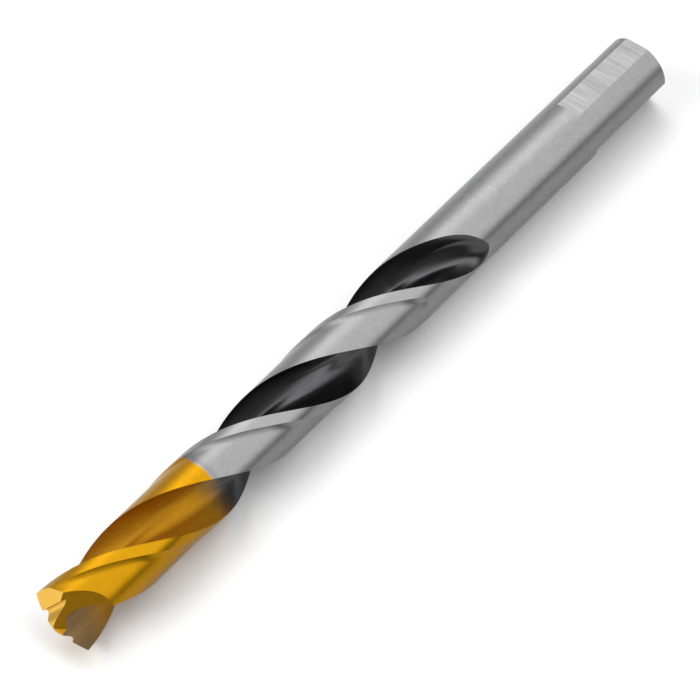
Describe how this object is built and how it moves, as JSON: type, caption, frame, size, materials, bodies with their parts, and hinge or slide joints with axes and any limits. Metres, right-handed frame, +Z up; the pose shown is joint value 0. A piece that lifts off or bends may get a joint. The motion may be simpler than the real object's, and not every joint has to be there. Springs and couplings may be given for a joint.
{
  "type": "twist drill bit",
  "caption": "Right-hand twist drill bit with two helical flutes, a stepped pilot point and a round shank with three flats for a chuck.",
  "frame": {"origin": "middle of the drill's length on the surface that it lies on, under its axis", "axes": "+X along the drill's axis towards the shank's end, with the pilot point at -X; +Z up, with the drill lying on its side"},
  "size_m": [0.1518, 0.0124, 0.0125],
  "materials": {
    "tool_steel": "satin ground steel, polished dark in the flutes, with a gold coating on the first 35 mm"
  },
  "bodies": {
    "root": {"drill_bit": "tool_steel"}
  },
  "joints": []
}
